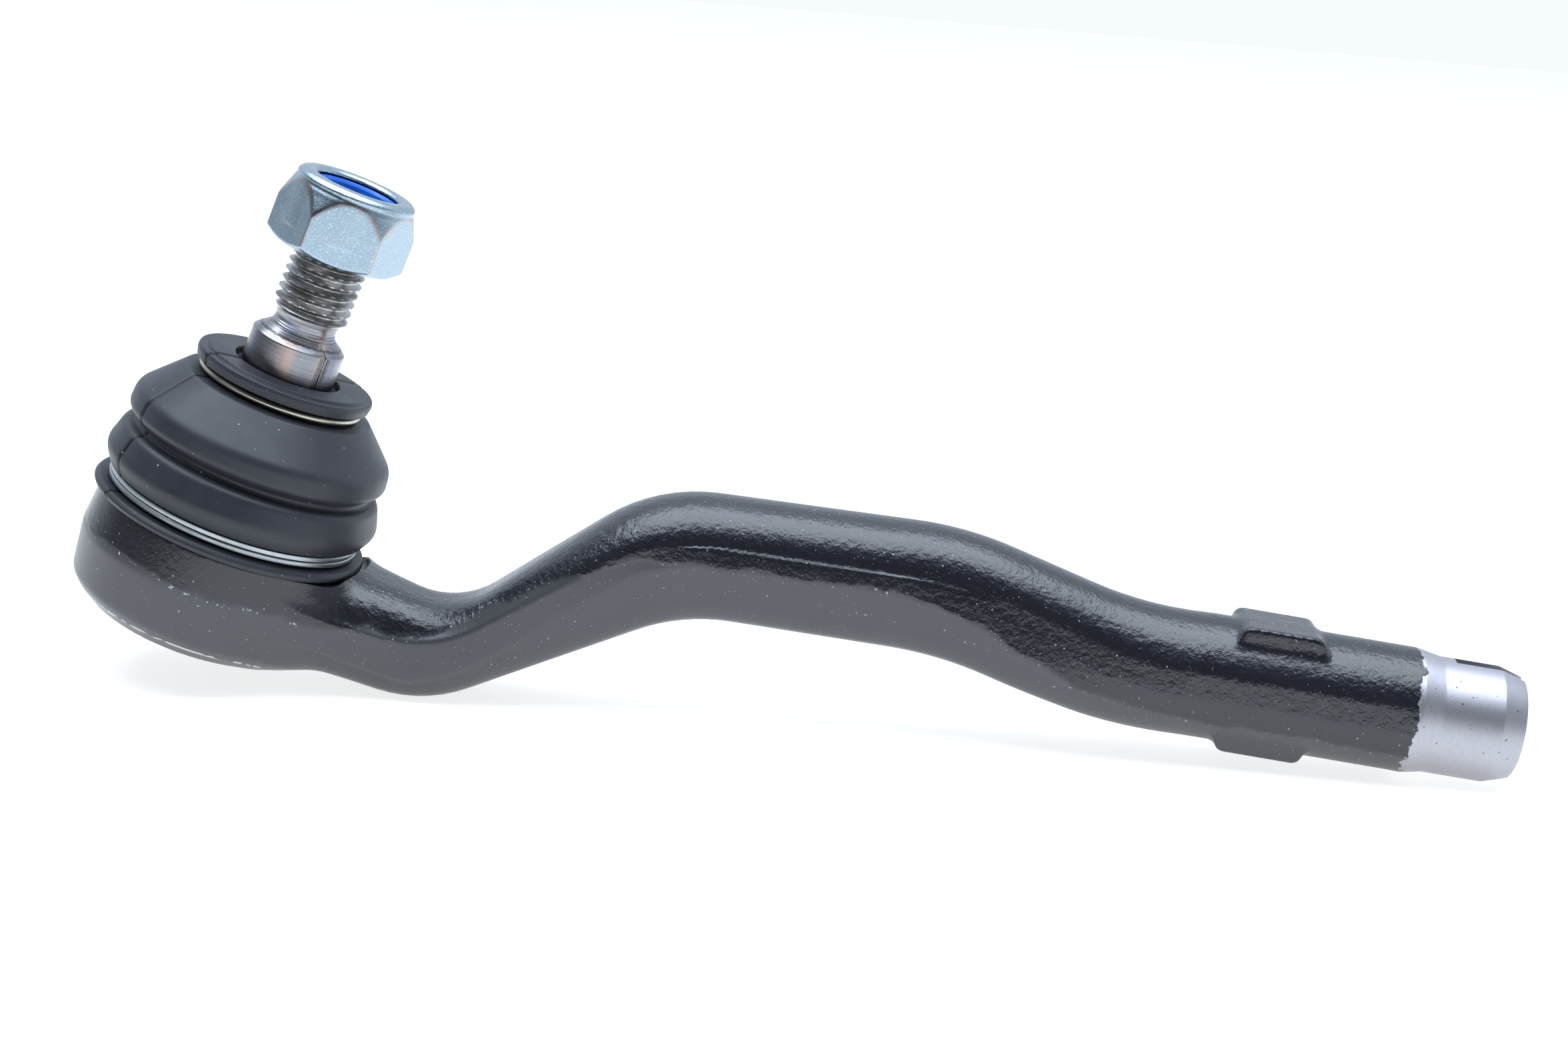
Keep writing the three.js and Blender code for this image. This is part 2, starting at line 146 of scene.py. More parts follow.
def filleted(corners, loop=False, steps=8):
    """An outline's corners, [a, b] or [a, b, fillet radius], as points with arcs for fillets."""
    points = []
    count = len(corners)
    for i, (a, b, *rest) in enumerate(corners):
        here = np.array([a, b], float)
        if not rest or (not loop and i in (0, count - 1)):
            points.append(here)
            continue
        back = np.array(corners[i - 1][:2]) - here
        on = np.array(corners[(i + 1) % count][:2]) - here
        back, on = back / np.linalg.norm(back), on / np.linalg.norm(on)
        half = math.acos(np.clip(back @ on, -1, 1)) / 2
        if math.cos(half) < 1e-6:
            points += [here] * (steps + 1)
            continue
        bisector = (back + on) / np.linalg.norm(back + on)
        centre = here + bisector * rest[0] / math.sin(half)
        start = here + back * rest[0] / math.tan(half) - centre
        finish = here + on * rest[0] / math.tan(half) - centre
        sweep = math.atan2(start[0] * finish[1] - start[1] * finish[0], start @ finish)
        for k in range(steps + 1):
            c, s = math.cos(sweep * k / steps), math.sin(sweep * k / steps)
            points.append(centre + [c * start[0] - s * start[1], s * start[0] + c * start[1]])
    return np.array(points)


def refined(points, step, loop=False):
    """The same outline with no edge longer than step."""
    made = []
    ends = np.roll(points, -1, axis=0) if loop else points[1:]
    for a, b in zip(points, ends):
        parts = max(1, math.ceil(np.linalg.norm(b - a) / step - 1e-6))
        made += [a + (b - a) * k / parts for k in range(parts)]
    return np.array(made if loop else made + [points[-1]])


def grid_faces(rows, columns, loop=False):
    """Quads over a grid of points that closes round its columns, and its rows if it's a loop."""
    i, k = np.meshgrid(np.arange(rows if loop else rows - 1), np.arange(columns), indexing="ij")
    below, beside = (i + 1) % rows, (k + 1) % columns
    quads = [i * columns + k, i * columns + beside, below * columns + beside, below * columns + k]
    return np.stack(quads, -1).reshape(-1, 4)


def end_caps(rows, columns):
    """The first and last rings of a grid as two flat faces."""
    last = (rows - 1) * columns
    return [list(range(columns))[::-1], list(range(last, last + columns))]


def revolved(profile, around, loop=False, warp=None):
    """A closed surface about z from a profile of [radius, z], with a number of steps or a list
    of angles round it. An open profile is capped flat."""
    angles = around if isinstance(around, np.ndarray) else circle(around)
    radius, angle = np.meshgrid(profile[:, 0], angles, indexing="ij")
    height = np.repeat(profile[:, 1:2], len(angles), 1)
    if warp:
        radius, height = warp(radius, height, angle)
    points = np.stack([radius * np.cos(angle), radius * np.sin(angle), height], -1)
    quads = grid_faces(len(profile), len(angles), loop)
    caps = [] if loop else end_caps(len(profile), len(angles))
    return points.reshape(-1, 3), quads, caps


def outward(angles):
    """Unit vectors away from z at these angles."""
    return np.stack([np.cos(angles), np.sin(angles), 0 * angles], -1)


def circle(count, dense_at=(), spread=0.0, extra=0):
    """Angles round a circle, with more of them about some places."""
    angles = list(np.arange(count) * 2 * math.pi / count)
    for place in dense_at:
        angles += list((place + np.linspace(-spread, spread, extra)) % (2 * math.pi))
    return np.array(sorted(set(np.round(angles, 5))))


def facing_out(points, quads):
    """Whether a closed mesh's faces point out of it, by the sign of its volume."""
    a, b, c, d = (points[quads[:, k]] for k in range(4))
    return np.sum(a * (np.cross(b, c) + np.cross(c, d))) > 0


def moved(points, matrix):
    matrix = np.array(matrix)
    return points @ matrix[:3, :3].T + matrix[:3, 3]


def placed(name, data):
    """A new object in the scene."""
    made = bpy.data.objects.new(name, data)
    bpy.context.scene.collection.objects.link(made)
    return made


def mesh_object(name, points, quads, caps=()):
    """A mesh drawn in millimetres, laid down as the part lies, with its faces outwards."""
    faces = quads.tolist() + list(caps)
    if not facing_out(points - points.mean(0), quads):
        faces = [face[::-1] for face in faces]
    mesh = bpy.data.meshes.new(name)
    mesh.from_pydata(moved(points, LAID).tolist(), [], faces)
    mesh.validate()
    return placed(name, mesh)


def welded(made):
    """The same piece without coincident points or faces of no area."""
    work = bmesh.new()
    work.from_mesh(made.data)
    bmesh.ops.remove_doubles(work, verts=work.verts, dist=1e-7)
    bmesh.ops.dissolve_degenerate(work, edges=work.edges, dist=1e-7)
    work.to_mesh(made.data)
    work.free()
    return made


def shaded(made, look, sharp):
    """Smooth shading, but for edges sharper than an angle in degrees, and one material."""
    made.data.shade_smooth()
    made.data.set_sharp_from_angle(angle=math.radians(sharp))
    made.data.materials.clear()
    made.data.materials.append(look)


def combined(base, other, operation):
    """A boolean of two closed meshes, left in the first one."""
    modifier = base.modifiers.new("boolean", "BOOLEAN")
    modifier.operation = operation
    modifier.solver = "MANIFOLD"
    modifier.object = other
    graph = bpy.context.evaluated_depsgraph_get()
    result = bpy.data.meshes.new_from_object(base.evaluated_get(graph))
    base.modifiers.clear()
    base.data = result
    bpy.data.objects.remove(other)


def meshed(values, low, voxel):
    """Quads over the zero surface of distances sampled on a regular grid."""
    grid = openvdb.FloatGrid(float(values.max()))
    grid.copyFromArray(values.astype(np.float32))
    points, quads = grid.convertToQuads()
    return points * voxel + np.array(low), quads


def samples(low, high, voxel):
    axes = [np.arange(a, b + voxel, voxel) for a, b in zip(low, high)]
    return np.meshgrid(*axes, indexing="ij", sparse=True)


def distances(body, low, shape, voxel, band):
    """Signed distances to a closed mesh, sampled on a regular grid and cut off at a band."""
    points, quads, caps = body
    fans = [[cap[0], cap[k], cap[k + 1]] for cap in caps for k in range(1, len(cap) - 1)]
    level = openvdb.FloatGrid.createLevelSetFromPolygons(
        (points - np.array(low)).astype(np.float32), triangles=np.array(fans, np.uint32),
        quads=quads.astype(np.uint32), halfWidth=band / voxel,
        transform=openvdb.createLinearTransform(voxelSize=voxel))
    values = np.full(shape, band, np.float32)
    level.copyToArray(values)
    return values


def joined(a, b, radius):
    """The union of two distance fields, with a fillet of about this radius between them."""
    share = np.clip(0.5 + 0.5 * (b - a) / radius, 0, 1)
    return b + (a - b) * share - radius * share * (1 - share)


def smoothstep(value, start, end):
    t = np.clip((np.asarray(value, float) - start) / (end - start), 0, 1)
    return t * t * (3 - 2 * t)


def between(value, rise, fall):
    """1 between a rise and a fall, each given by its start and end, and 0 outside them."""
    return smoothstep(value, *rise) * (1 - smoothstep(value, *fall))


# ---- Housing -----------------------------------------------------

# Upper and lower outlines of the arm, corner for corner, as on the CAD part
ARM_START_X = 14
ARM_UPPER = [
    [ARM_START_X, 12.3], [24, 12.3, 3], [38.2, 12.1, 13], [59.8, 43.3, 28], [107, 56.8, 55],
    [138, 56.7, 60], [*by_sleeve(-49, SLEEVE_RADIUS), 20], by_sleeve(-12, SLEEVE_RADIUS),
]
ARM_LOWER = [
    [ARM_START_X, -3.6], [24, -3.6, 3], [38.8, -3.6, 22], [71.6, 27.2, 30], [110.5, 37.4, 60],
    [140.2, 37.2, 60], [*by_sleeve(-49, -SLEEVE_RADIUS), 20], by_sleeve(-12, -SLEEVE_RADIUS),
]
# Along the arm: x, height of the trimmed flash line and of the die's edge above mid-thickness
FLASH_LINE = np.array([[14, 1.6], [29, 2.1], [34, 3], [42, 3.9], [56, 3.7], [70, 3], [100, 2.8],
                       [125, 2.6], [150, 2.4], [200, 2.4]])
DIE_EDGE = np.array([[14, -3], [36, -4.2], [46, -2.8], [54, -1], [62, 0], [101, 0], [110, -1.4],
                     [121, -3.4], [130, -4.8], [150, -5.4], [200, -5.4]])
SIDE_DRAFT = 0.16
FLASH_LEDGE = 0.4
ROOT_CHAMFER = 0.8
CROWN_END_ANGLE = 0.2
FOOT_DRAFT = 0.1
FOOT_RADIUS = 4.6
ARM_STEP = 1.6
VOXEL = 0.42
ROOT_FILLET = 5.5
SKIN_MARGIN = 0.05
PAD_FILLET = 0.8


def arm_path():
    """Matching points of the arm's upper and lower outlines."""
    upper, lower = filleted(ARM_UPPER), filleted(ARM_LOWER)
    tops, bottoms = [], []
    for i in range(len(upper) - 1):
        span = max(np.linalg.norm(line[i + 1] - line[i]) for line in (upper, lower))
        parts = max(1, math.ceil(span / ARM_STEP))
        for k in range(parts):
            tops.append(upper[i] + (upper[i + 1] - upper[i]) * k / parts)
            bottoms.append(lower[i] + (lower[i + 1] - lower[i]) * k / parts)
    return np.array(tops + [upper[-1]]), np.array(bottoms + [lower[-1]])


TOPS, BOTTOMS = arm_path()
MIDDLES = (TOPS + BOTTOMS) / 2
HALF_HEIGHTS = np.linalg.norm(TOPS - BOTTOMS, axis=1) / 2


def arm_section(x, half_height):
    """Half of the arm's section as [y, height above mid-thickness], from its top to its foot."""
    narrowed = smoothstep(x, 16, 34)
    half_width = ARM_ROOT_HALF_WIDTH + (ARM_HALF_WIDTH - ARM_ROOT_HALF_WIDTH) * narrowed
    roundness = smoothstep(x, 118, 152)
    flash = np.interp(x, *FLASH_LINE.T)
    edge = np.interp(x, *DIE_EDGE.T)
    root = 1 - smoothstep(x, 42, 64)
    power = 2.15 + 1.2 * root
    lean_in = (0.03 + SIDE_DRAFT * smoothstep(x, 52, 78)) * (flash - edge)
    trimmed = between(x, (66, 78), (108, 118))
    ledge = FLASH_LEDGE * trimmed + ROOT_CHAMFER * root
    crown_foot = flash + 0.15 + 0.4 * root
    angle = np.linspace(math.pi / 2, CROWN_END_ANGLE + 0.4 * root, 20)
    across = np.cos(angle) ** (2 / power)
    up = np.sin(angle) ** (2 / power)
    crown_y = (half_width - lean_in - ledge) * across / across[-1]
    crown_v = crown_foot + (half_height - crown_foot) * (up - up[-1]) / (1 - up[-1])
    side = [[half_width - lean_in, flash - 0.15 - 0.3 * root],
            [half_width - lean_in / 2, (flash + edge) / 2], [half_width, edge]]
    foot_y = half_width - FOOT_DRAFT * (half_height + edge) - FOOT_RADIUS
    turn = np.linspace(0, math.pi / 2, 9)
    foot = np.stack([foot_y + FOOT_RADIUS * np.cos(turn),
                     -half_height + FOOT_RADIUS * (1 - np.sin(turn))], -1)
    drawn = np.concatenate([np.stack([crown_y, crown_v], -1), side, foot, [[0, -half_height]]])
    reach = np.arctan2(drawn[:, 1], np.maximum(drawn[:, 0], 1e-6))
    round_section = np.stack([half_height * np.cos(reach), half_height * np.sin(reach)], -1)
    round_section[:, 0][[0, -1]] = 0
    return drawn + (round_section - drawn) * roundness


def arm_mesh():
    """The arm and the sleeve's outside, from inside the socket to near the sleeve's end."""
    rings = []
    for middle, top, half_height in zip(MIDDLES, TOPS, HALF_HEIGHTS):
        up = (top - middle) / half_height
        half = arm_section(middle[0], half_height)
        ring = np.concatenate([half, (half * [-1, 1])[-2:0:-1]])
        place = middle + ring[:, 1:2] * up
        rings.append(np.stack([place[:, 0], ring[:, 0], place[:, 1]], -1))
    shape = len(rings), len(rings[0])
    return np.concatenate(rings), grid_faces(*shape), end_caps(*shape)


def wrench_pad(start, end, face):
    """A raised flat on the sleeve, sloped at its ends, less the rounding of its edges."""
    side = math.copysign(1, face)
    start, end, top = start + PAD_EDGE, end - PAD_EDGE, face - side * PAD_EDGE
    outline = filleted([
        [start, side * 4], [start + PAD_SLOPE, top, 1], [end - PAD_SLOPE, top, 1],
        [end, side * 4],
    ])
    places = [by_sleeve(along, off) for along, off in outline]
    half_width = PAD_HALF_WIDTH - PAD_EDGE
    rings = [[[x, y, z] for x, z in places] for y in (-half_width, half_width)]
    shape = 2, len(outline)
    return np.array(rings).reshape(-1, 3), grid_faces(*shape), end_caps(*shape)


def socket_profile():
    return refined(filleted([
        [0, FOOT_Z], [16.8, FOOT_Z, 0.4], [RIM_EDGE[0], RIM_EDGE[1]], [20.4, -3.6, 1.5],
        [SOCKET_RADIUS, 3.8, 6], [20.6, SHOULDER_Z + 1, 1], [0, SHOULDER_Z + 1],
    ]), 2)


def housing_skin():
    """The forging's outer skin: socket, arm and pads, joined with fillets."""
    low, high = np.array([-25, -25, -10.0]), np.array([200, 25, 74.0])
    shape = tuple(len(np.arange(a, b + VOXEL, VOXEL)) for a, b in zip(low, high))
    band = ROOT_FILLET + 1
    arm = distances(arm_mesh(), low, shape, VOXEL, band)
    for face in (UPPER_PAD, LOWER_PAD):
        pad = distances(wrench_pad(*face), low, shape, VOXEL, band) - PAD_EDGE
        arm = joined(arm, pad, PAD_FILLET)
    socket = distances(revolved(socket_profile(), 144), low, shape, VOXEL, band)
    return meshed(joined(arm, socket, ROOT_FILLET) + SKIN_MARGIN, low, VOXEL)


def sleeve_tip():
    """The turned end of the sleeve, drawn along its axis and ending at zero."""
    return refined(filleted([
        [0, SLEEVE_CONE_START - 3], [SLEEVE_RADIUS - 0.25, SLEEVE_CONE_START - 3],
        [SLEEVE_RADIUS - 0.15, SLEEVE_CONE_START, 1], [SLEEVE_TIP_RADIUS, -SLEEVE_TIP_LENGTH, 3],
        [SLEEVE_TIP_RADIUS, -SLEEVE_CHAMFER, 0.5], [SLEEVE_CHAMFER_RADIUS, 0, 0.3], [0, 0],
    ]), 1.5)


def along_sleeve(points):
    """Turns points drawn along +z so that they run along the sleeve to its end."""
    c, s = math.cos(SLEEVE_SLOPE), math.sin(SLEEVE_SLOPE)
    x, y, z = np.asarray(points).T
    return np.stack([END.x + z * c - x * s, y, END.z + z * s + x * c], -1)


def threaded(profile_root, crest, start, end, fade):
    """A warp that raises a right-hand thread on the rows between two heights."""
    crest_flat, flank, crease = 0.1, 0.76, 0.07

    def warp(radius, height, angle):
        phase = (height / PITCH - angle / (2 * math.pi)) % 1
        slope = np.abs(phase - 0.5) * 2
        ridge = 1 - np.clip((slope - crest_flat) / flank, 0, 1)
        ridge = ridge - 0.1 * np.exp(-(slope / crease) ** 2)
        inside = between(height, (start, start + fade), (end - fade, end))
        rows = (height > start) & (height < end)
        raised = radius + (crest - profile_root) * ridge * inside
        return np.where(rows, raised, radius), height
    return warp


def sleeve_bore():
    """The tapped hole, drawn along z with its mouth at zero."""
    tapped_from, tapped_to = -BORE_DEPTH + 4, -0.8
    rows = np.arange(tapped_from, tapped_to - 0.1, 0.12)
    mouth = BORE_ROOT_RADIUS + 0.1
    profile = np.array(
        [[0, -BORE_DEPTH - 3], [BORE_CREST_RADIUS, -BORE_DEPTH]]
        + [[BORE_CREST_RADIUS, z] for z in (-BORE_DEPTH + 1, -BORE_DEPTH + 3, *rows, tapped_to)]
        + [[mouth, 0], [mouth, 1], [0, 1]])
    cut = threaded(BORE_CREST_RADIUS, BORE_ROOT_RADIUS - 0.1, tapped_from, tapped_to, 0.6)
    return revolved(profile, 72, warp=cut)


def box_mesh(low, high):
    corners = [[(low, high)[(k >> axis) & 1][axis] for axis in range(3)] for k in range(8)]
    quads = [[0, 2, 3, 1], [4, 5, 7, 6], [0, 1, 5, 4], [2, 6, 7, 3], [0, 4, 6, 2], [1, 3, 7, 5]]
    return np.array(corners, float), np.array(quads)


def shoulder_space():
    """What the boot's bead needs above the shoulder, round the socket's neck."""
    reach = SHOULDER_SPACE_RADIUS
    return revolved(filleted([
        [NECK_RADIUS, 30], [NECK_RADIUS, SHOULDER_Z, 0.4], [reach, SHOULDER_Z, 0.8], [reach, 30],
    ], loop=True), 144, loop=True)


def socket_neck():
    return revolved(filleted([
        [0, SHOULDER_Z - 4], [NECK_RADIUS, SHOULDER_Z - 4], [NECK_RADIUS, NECK_TOP_Z, 0.8],
        [0, NECK_TOP_Z],
    ]), 144)


def socket_inside():
    """The socket's hollow: crimped rim, seat for the cover, bore for the seats and flared lip."""
    rim_top, seat_top = FOOT_Z + 0.75, COVER_Z[1] + 0.3
    cover_space = COVER_RADIUS + 0.3
    return revolved(filleted([
        [0, FOOT_Z - 1], [RIM_INNER, FOOT_Z - 1], [RIM_INNER, rim_top], [cover_space, rim_top],
        [cover_space, seat_top], [SEAT_BORE, seat_top], [SEAT_BORE, 9.2],
        [11, 12.2], [9.9, 12.2], [9.9, 12.4, 0.3], [12, NECK_TOP_Z], [12, NECK_TOP_Z + 1],
        [0, NECK_TOP_Z + 1],
    ]), 144)


def on_sleeve(name, points, quads, caps=()):
    return mesh_object(name, along_sleeve(points), quads, caps)


def housing():
    """The forging, less what is turned, bored and slotted, with its turned tip and neck."""
    made = mesh_object("housing_forging", *housing_skin())
    past_paint = box_mesh((-30, -30, SLEEVE_CONE_START - 0.5), (30, 30, 40))
    slot = box_mesh((-15, -SLOT_WIDTH / 2, -SLOT_LENGTH), (15, SLOT_WIDTH / 2, 2))
    combined(made, on_sleeve("past_paint", *past_paint), "DIFFERENCE")
    combined(made, on_sleeve("tip", *revolved(sleeve_tip(), 128)), "UNION")
    combined(made, mesh_object("shoulder", *shoulder_space()), "DIFFERENCE")
    combined(made, mesh_object("neck", *socket_neck()), "UNION")
    combined(made, mesh_object("inside", *socket_inside()), "DIFFERENCE")
    combined(made, on_sleeve("bore", *sleeve_bore()), "DIFFERENCE")
    combined(made, on_sleeve("slot", *slot), "DIFFERENCE")
    return made


# ---- Stud, nut and insert ----------------------------------------

THREAD_ROW = 0.07
NOTCH_ANGLE = math.radians(-43)
NOTCH_HALF_WIDTH = 0.6
NOTCH_DEPTH = 0.35
RIDGE_HEIGHT = 0.07
RIDGE_PITCH = 0.42


def ball_arc(start, end, steps):
    """Points [radius, z] up the ball's side between two heights."""
    first, last = (math.asin((z - BALL_Z) / BALL_RADIUS) for z in (start, end))
    return [[BALL_RADIUS * math.cos(a), BALL_Z + BALL_RADIUS * math.sin(a)]
            for a in np.linspace(first, last, steps)]


def stud_profile():
    """The stud's outline, with close rows where the thread is raised."""
    ball_top = BALL_Z + math.sqrt(BALL_RADIUS ** 2 - STUD_NECK_RADIUS ** 2)
    lower = filleted([
        [0, BALL_FLAT_Z], *ball_arc(BALL_FLAT_Z, ball_top, 24),
        [STUD_NECK_RADIUS, 21, 6], [SHANK_RADIUS, 26, 6], [SHANK_RADIUS, SHANK_END_Z, 0.35],
        [6.6, SHANK_END_Z + 0.75, 0.5], [UNDERCUT_RADIUS, 44.2, 1.2], [UNDERCUT_RADIUS, 45.6],
        [THREAD_ROOT, THREAD_Z[0]],
    ])
    rows = np.arange(THREAD_Z[0] + THREAD_ROW, THREAD_Z[1] - 0.5, THREAD_ROW)
    thread = np.stack([np.full(len(rows), THREAD_ROOT), rows], -1)
    top = THREAD_Z[1]
    end = [[THREAD_ROOT - 0.1, top - 0.3], [THREAD_ROOT - 0.6, top], [0, top]]
    return np.concatenate([refined(lower, 0.45), thread, end])


def stud():
    """The stud, with its thread, a notch down the shank and lathe ridges in the undercut."""
    raise_thread = threaded(THREAD_ROOT, THREAD_CREST, THREAD_Z[0], THREAD_Z[1] - 0.4, 0.9)
    notch_end = SHANK_END_Z + 0.9

    def warp(radius, height, angle):
        radius, height = raise_thread(radius, height, angle)
        across = (angle - NOTCH_ANGLE + math.pi) % (2 * math.pi) - math.pi
        off = np.abs(across) * SHANK_RADIUS
        groove = 1 - smoothstep(off, NOTCH_HALF_WIDTH * 0.6, NOTCH_HALF_WIDTH)
        length = between(height, (33.5, 34.5), (notch_end, notch_end + 0.7))
        ridges = between(height, (43.4, 44), (45.7, 46.2))
        radius = radius - NOTCH_DEPTH * groove * length
        return radius + ridges * RIDGE_HEIGHT * np.sin(height * 2 * math.pi / RIDGE_PITCH), height

    around = circle(112, dense_at=[NOTCH_ANGLE], spread=0.11, extra=24)
    return mesh_object("ball_stud_turned", *revolved(stud_profile(), around, warp=warp))


def polygon_distance(radius, height, outline):
    """Signed distance from [radius, height] to a closed outline, negative inside it."""
    best = np.full(np.broadcast(radius, height).shape, 1e9)
    inside = np.zeros(best.shape, bool)
    for a, b in zip(outline, np.roll(outline, -1, axis=0)):
        edge = b - a
        if edge @ edge < 1e-12:
            continue
        along = (radius - a[0]) * edge[0] + (height - a[1]) * edge[1]
        share = np.clip(along / (edge @ edge), 0, 1)
        off = np.hypot(radius - a[0] - share * edge[0], height - a[1] - share * edge[1])
        best = np.minimum(best, off)
        if a[1] != b[1]:
            crossing = (a[1] > height) != (b[1] > height)
            reach = a[0] + (height - a[1]) * edge[0] / edge[1]
            inside ^= crossing & (radius < reach)
    return np.where(inside, -best, best)


def turned_distance(x, y, z, outline):
    """Signed distances to a body turned about z, over a regular grid of samples."""
    step = 0.05
    radii = np.arange(0, math.hypot(x.max(), y.max()) + 2 * step, step)
    table = polygon_distance(radii[:, None], z.reshape(1, -1), outline)
    place = np.sqrt(x * x + y * y)[:, :, 0] / step
    row = place.astype(int)
    share = (place - row)[..., None]
    return table[row] * (1 - share) + table[row + 1] * share


def past_flats(x, y):
    """How far past each of the nut's six flats a place is."""
    turned = [math.radians(60 * k) + NUT_TURN - math.pi / 2 for k in range(6)]
    return [x * math.cos(a) + y * math.sin(a) - NUT_HALF_FLATS for a in turned]


def nut():
    """A hexagon cut by cones above and below, with a rolled collar on top and a plain bore just clear of the
    thread's crests.
    """
    voxel = 0.16
    reach = 11.6
    low = (-reach, -reach, NUT_Z - 0.6)
    x, y, z = samples(low, (reach, reach, NUT_TOP_Z + 0.6), voxel)
    hexagon = np.maximum.reduce(past_flats(x, y))
    cones = turned_distance(x, y, z, filleted([
        [0, NUT_Z], [9.3, NUT_Z, 0.3], [NUT_CONE[0], NUT_Z + 1.0], NUT_CONE,
        [9.4, 67.0, 1.2], [0, 67.0],
    ], loop=True))
    body = -joined(-(hexagon + 0 * z), -cones, 0.25)
    collar = turned_distance(x, y, z, filleted([
        [0, 60], [9.2, 60], [9.2, 66.8], [9.45, 67.5, 0.5], [9.2, NUT_TOP_Z, 1.4],
        [6.45, NUT_TOP_Z, 0.9], [6.4, 67.4], [0, 67.4],
    ], loop=True))
    whole = joined(body, collar, 0.7)
    bore, pocket = THREAD_CREST + 0.15, INSERT_RADIUS + 0.3
    floor, ceiling = INSERT_Z[0], INSERT_Z[1] + 0.3
    inside = turned_distance(x, y, z, filleted([
        [0, NUT_Z - 2], [7.1, NUT_Z - 2], [7.1, NUT_Z - 0.1], [bore, NUT_Z + 1], [bore, floor],
        [pocket, floor], [pocket, ceiling], [6.4, ceiling], [6.45, 70], [0, 70],
    ], loop=True))
    return mesh_object("lock_nut_body", *meshed(np.maximum(whole, -inside), low, voxel))


def insert():
    """The locking ring, with a bore just clear of the thread's crests."""
    low, high = INSERT_Z
    inner = THREAD_CREST + 0.05
    return mesh_object("nylon_ring", *revolved(refined(filleted([
        [inner, low], [INSERT_RADIUS, low], [INSERT_RADIUS, high], [inner + 0.3, high, 0.25],
        [inner, high - 0.5, 0.2],
    ], loop=True), 0.4, loop=True), 96, loop=True))


# ---- Boot and rings ----------------------------------------------

BOOT_OUTSIDE = [
    [17.3, 10.7, 0.2], [21.5, 10.7, 0.7], [22.1, 11.5, 0.5], [21.5, 12.3, 0.4], [19.1, 12.3],
    [19.1, 14.7], [20.7, 14.7, 0.4], [22.1, 17.2, 2.4], [20.7, 21.5, 1.6], [17.9, 22.2, 0.7],
    [20.9, 24.2, 1.4], [20.6, 27.2, 2.8], [14.9, 33.1, 0.8], [11.75, 33.25, 0.3],
    [11.75, 34.95, 0.3], [13.9, 35.05, 0.2], [14.15, 36.3, 0.5], [13.95, 36.95, 0.3],
    [12.8, 36.9, 0.1], [12.6, 37.3, 0.15],
]
BOOT_INSIDE = [
    [8.5, 37.3, 0.25], [8.3, 36.2, 0.4], [7.6, 35.4, 0.3], [7.55, 30, 0.8], [11.6, 30.8, 1.5],
    [17.2, 27.6, 2], [18.7, 25.4, 1.2], [16.2, 22.2, 0.8], [19.2, 20.2, 0.8], [19.9, 17.4, 1],
    [17.6, 15.4, 1], [17.35, 14.5],
]
RING_SEATS = [[[19.1, 12.3], [19.1, 14.7]], [[11.75, 33.25], [11.75, 34.95]]]
SEAM_DEPTH = 0.32
SEAM_HALF_WIDTH = 0.34
BOOT_WAVE = 0.03
RIM_FLASH = 0.5


def seam_line(angle, reach):
    """The mould's parting line by angle round the boot: 1 on the line."""
    line = 0
    for place in SEAM_ANGLES:
        across = np.abs((angle - place + math.pi) % (2 * math.pi) - math.pi) * reach
        line = line + np.exp(-(across / SEAM_HALF_WIDTH) ** 2)
    return line


def nearest(points, line):
    """Each point's distance to the nearest point of a line."""
    return np.linalg.norm(points[:, None] - line, axis=2).min(1)


def boot():
    """The bellows, with the mould's parting lines and a slight waviness where it can be seen."""
    outline = filleted([*BOOT_OUTSIDE, *BOOT_INSIDE], loop=True, steps=6)
    profile = refined(outline, 0.45, loop=True)
    ahead, behind = np.roll(profile, -1, axis=0), np.roll(profile, 1, axis=0)
    tangent = ahead - behind
    normal = np.stack([tangent[:, 1], -tangent[:, 0]], -1)
    normal /= np.linalg.norm(normal, axis=1)[:, None] + 1e-9
    outer, inner = (refined(filleted(line, steps=6), 0.3) for line in (BOOT_OUTSIDE, BOOT_INSIDE))
    shown = nearest(profile, outer) < nearest(profile, inner)
    shown |= (profile[:, 0] > 8.4) & (profile[:, 1] > 36.8)
    for seat in RING_SEATS:
        shown &= nearest(profile, refined(np.array(seat), 0.3)) > 0.25

    def warp(radius, height, angle):
        groove = -SEAM_DEPTH * seam_line(angle, radius) * shown[:, None]
        swell = BOOT_WAVE * np.sin(3 * angle + height * 0.4) * shown[:, None] * (radius > 15)
        flash = np.exp(-(((angle - SEAM_ANGLES[0]) * 14) / 0.5) ** 2)
        flash = RIM_FLASH * flash * (height > 35.2) * (radius > 13.3)
        step = groove + swell + flash
        return radius + normal[:, 0:1] * step, height + normal[:, 1:2] * (groove + swell)

    around = circle(150, dense_at=SEAM_ANGLES, spread=0.05, extra=26)
    return mesh_object("dust_boot_moulding", *revolved(profile, around, loop=True, warp=warp))


def swept(section, path, frames):
    """A closed bar: a section of [outward, up] points carried along a path and capped."""
    rings = [centre + section @ np.array([out, (0, 0, 1)]) for centre, out in zip(path, frames)]
    shape = len(rings), len(section)
    return np.concatenate(rings), grid_faces(*shape), end_caps(*shape)


